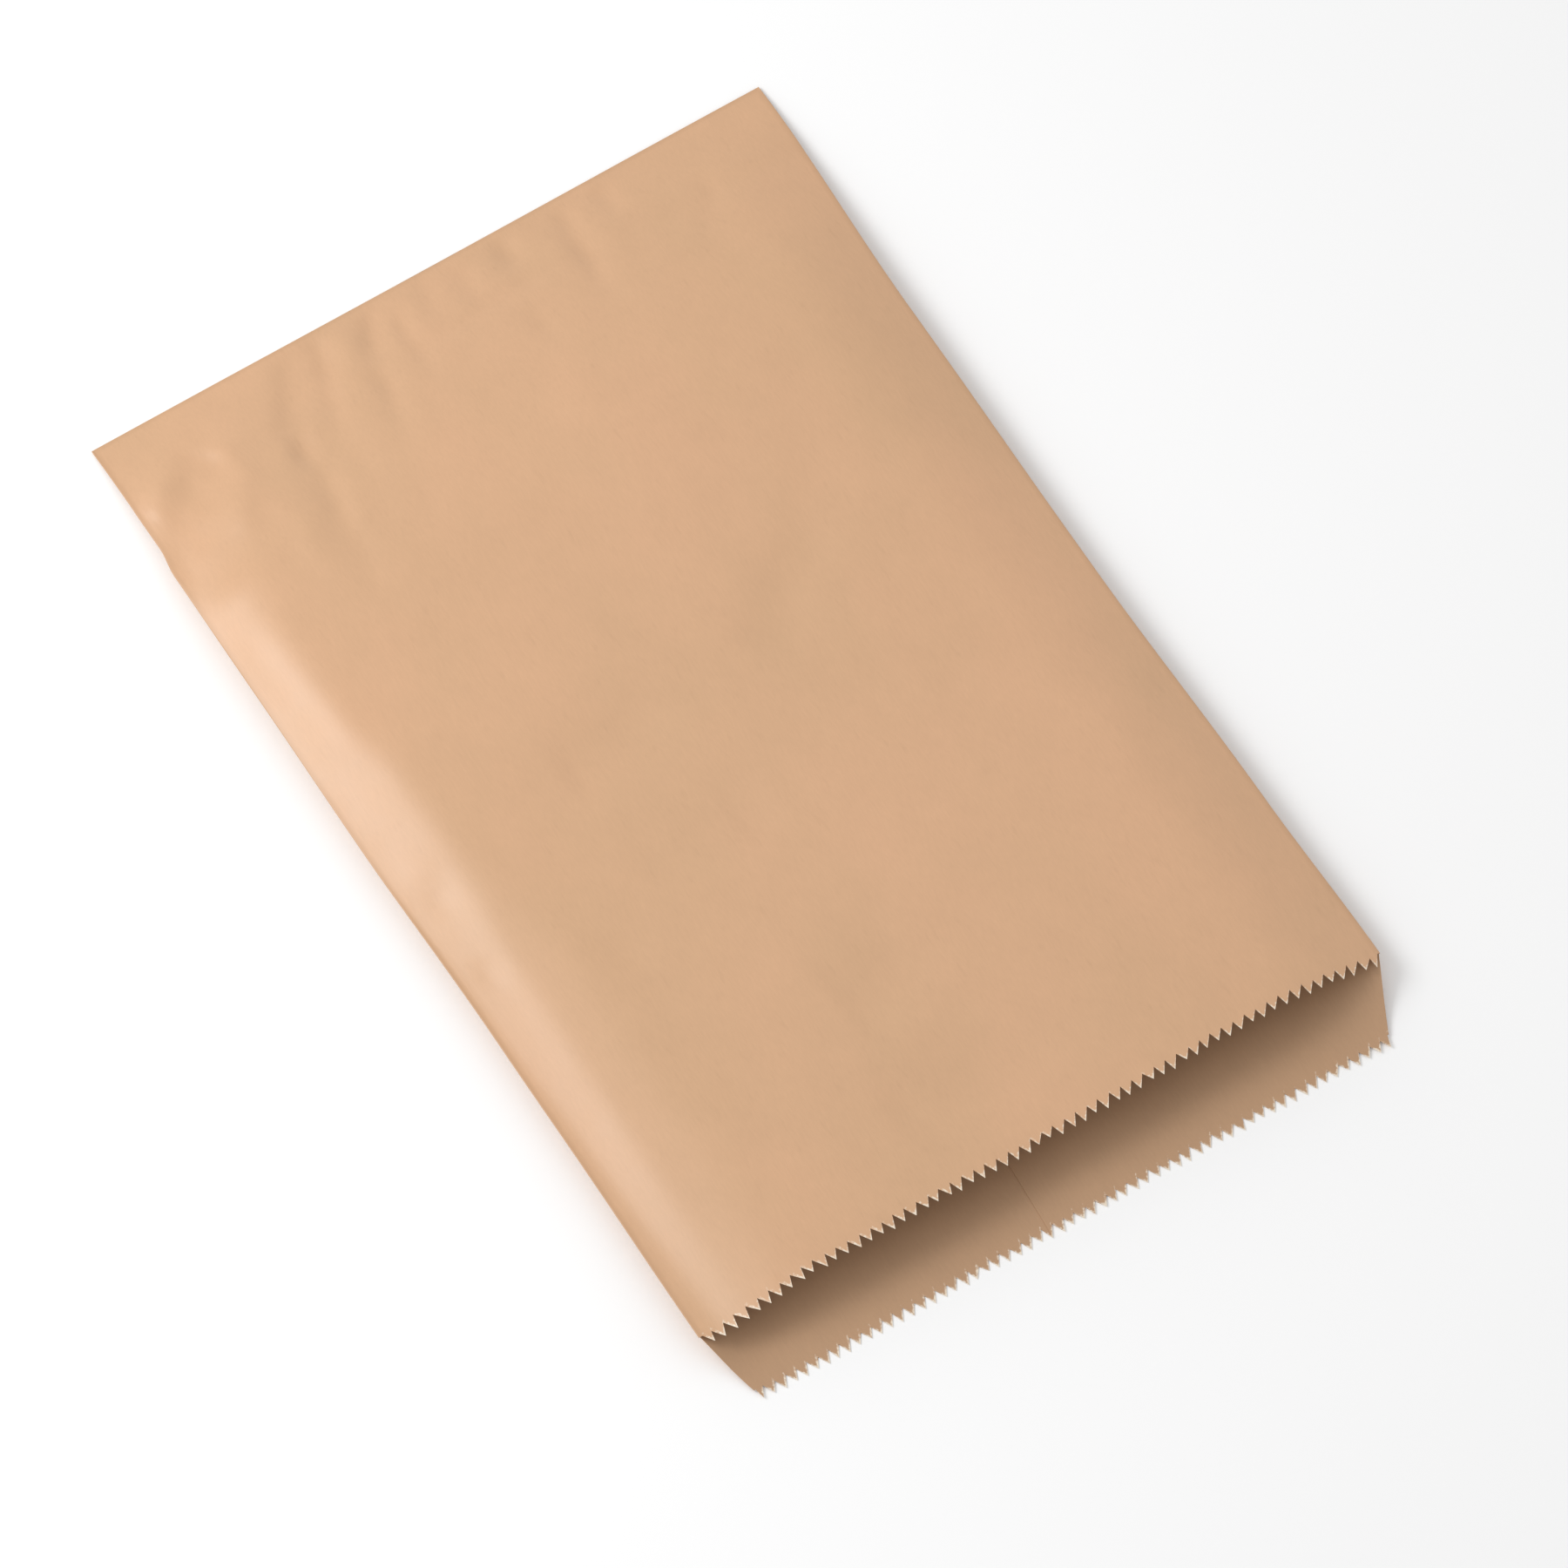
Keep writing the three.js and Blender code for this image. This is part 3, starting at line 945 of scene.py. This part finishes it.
    def thicken(self, sheet: bpy.types.Object) -> None:
        """Gives the folded sheet the paper's thickness, outwards from its inner skin."""
        make_active(sheet)
        bpy.ops.object.mode_set(mode="EDIT")
        bpy.ops.mesh.select_all(action="SELECT")
        if self.points_inwards(sheet):
            bpy.ops.mesh.flip_normals()
        bpy.ops.object.mode_set(mode="OBJECT")
        wall = sheet.modifiers.new("paper thickness", "SOLIDIFY")
        wall.thickness = self.shape.paper * MM
        wall.offset = 1.0
        wall.use_even_offset = True
        wall.thickness_clamp = self.wall_clamp
        bpy.ops.object.modifier_apply(modifier=wall.name)

    def points_inwards(self, sheet: bpy.types.Object) -> bool:
        """Whether the front's normals look down into the bag."""
        sheet.update_from_editmode()
        above = Vector((0.0, 0.0, 2.0 * self.shape.open_height * MM))
        middle = min(sheet.data.polygons, key=lambda face: (face.center - above).length)
        return middle.normal.z < 0.0

    def mark_inside(self, sheet: bpy.types.Object, skin_points: int) -> None:
        """Marks the points of the inner skin, which come after those of the outer one."""
        inside = sheet.data.attributes.new("inside", "FLOAT", "POINT")
        for index, value in enumerate(inside.data):
            value.value = 1.0 if index >= skin_points else 0.0

    def build(self) -> bpy.types.Object:
        """Folds, cuts, thickens and dresses the bag.

        Returns:
            The finished piece.
        """
        columns = self.columns()
        rows = self.rows()
        sheet = self.flat_blank(len(columns), len(rows))
        self.fold(sheet, columns, rows)
        self.trim(sheet, columns, rows)
        skin_points = len(sheet.data.vertices)
        self.thicken(sheet)
        self.mark_inside(sheet, skin_points)
        make_active(sheet)
        bpy.ops.object.shade_smooth_by_angle(angle=math.radians(self.smooth_angle))
        sheet.data.materials.clear()
        sheet.data.materials.append(self.finish.material())
        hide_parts("paper_bag")
        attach(sheet, "root")
        return sheet


@dataclass(frozen=True)
class PhotographCamera:
    """The camera of the photograph, fitted to the bag's corners and to its teeth."""

    azimuth: float = -31.68
    elevation: float = 62.98
    distance: float = 2.8135
    lens: float = 338.55
    sensor: float = 36.0
    farthest: float = 30.0
    target: tuple[float, float, float] = (-0.0008, -0.0143, 0.004)

    def place(self) -> bpy.types.Object:
        """Adds the camera and makes it the scene's own.

        Returns:
            The camera object.
        """
        turn = math.radians(self.azimuth)
        tilt = math.radians(self.elevation)
        look = Vector((-math.sin(turn) * math.cos(tilt), math.cos(turn) * math.cos(tilt), -math.sin(tilt)))
        right = Vector((math.cos(turn), math.sin(turn), 0.0))
        up = right.cross(look)
        optics = bpy.data.cameras.new("photograph_camera")
        optics.lens = self.lens
        optics.sensor_width = self.sensor
        optics.clip_end = self.farthest
        camera = bpy.data.objects.new("photograph_camera", optics)
        bpy.context.scene.collection.objects.link(camera)
        axes = Matrix((right, up, -look)).transposed()
        camera.matrix_world = Matrix.Translation(Vector(self.target) - look * self.distance) @ axes.to_4x4()
        bpy.context.scene.camera = camera
        return camera


@dataclass(frozen=True)
class SoftLamp:
    """One square soft lamp, aimed at the bag.

    Args:
        name: What it is called.
        toward: Direction from the bag to the lamp.
        distance: How far it stands off, in metres.
        size: Its side, in metres.
        power: Its power, in watts.
    """

    name: str
    toward: tuple[float, float, float]
    distance: float
    size: float
    power: float

    def hang(self) -> bpy.types.Object:
        """Adds the lamp and turns its face to the bag."""
        lamp = bpy.data.lights.new(self.name, "AREA")
        lamp.shape = "SQUARE"
        lamp.size = self.size
        lamp.energy = self.power
        holder = bpy.data.objects.new(self.name, lamp)
        bpy.context.scene.collection.objects.link(holder)
        way = Vector(self.toward).normalized()
        holder.location = way * self.distance
        holder.rotation_euler = way.to_track_quat("Z", "Y").to_euler()
        return holder


@dataclass(frozen=True)
class Studio:
    """A plain pale floor in soft light, with the key from the left of the photograph."""

    lamps: tuple[SoftLamp, ...] = (
        SoftLamp("key_softbox", (-0.58, 0.40, 0.74), 0.78, 0.38, 2.85),
    )
    floor_colour: tuple[float, float, float, float] = (0.955, 0.955, 0.955, 1.0)
    world_colour: tuple[float, float, float, float] = (1.0, 1.0, 1.0, 1.0)
    world_strength: float = 0.745
    floor_size: float = 8.0
    floor_drop: float = 0.0001
    floor_roughness: float = 0.9
    floor_specular: float = 0.1

    def lay_floor(self) -> bpy.types.Object:
        """Adds the floor, which only stages the bag."""
        deselect_all()
        bpy.ops.mesh.primitive_plane_add(size=self.floor_size, location=(0.0, 0.0, -self.floor_drop))
        floor = bpy.context.object
        floor.name = "studio_floor"
        paint = bpy.data.materials.new("studio_floor")
        paint.use_nodes = True
        shader = paint.node_tree.nodes["Principled BSDF"]
        shader.inputs["Base Color"].default_value = self.floor_colour
        shader.inputs["Roughness"].default_value = self.floor_roughness
        shader.inputs["Specular IOR Level"].default_value = self.floor_specular
        floor.data.materials.append(paint)
        return floor

    def light_world(self) -> None:
        """Fills the room with even light."""
        world = bpy.data.worlds.new("studio_world")
        world.use_nodes = True
        bpy.context.scene.world = world
        fill = world.node_tree.nodes["Background"]
        fill.inputs["Color"].default_value = self.world_colour
        fill.inputs["Strength"].default_value = self.world_strength

    def set_up(self) -> None:
        """Lays the floor, hangs the lamps and lights the room."""
        self.lay_floor()
        for lamp in self.lamps:
            lamp.hang()
        self.light_world()
        bpy.context.scene.view_settings.view_transform = "Standard"


def main() -> None:
    """Builds the camera, the bag and the studio, and reports each."""
    logging.basicConfig(level=logging.INFO, format="%(name)s: %(message)s")
    camera = PhotographCamera().place()
    LOG.info("camera %s, lens %.1f mm", camera.name, camera.data.lens)
    bag = PaperBag().build()
    LOG.info("%s: %d faces", bag.name, len(bag.data.polygons))
    Studio().set_up()
    LOG.info("studio lit")


if __name__ == "__main__":
    main()
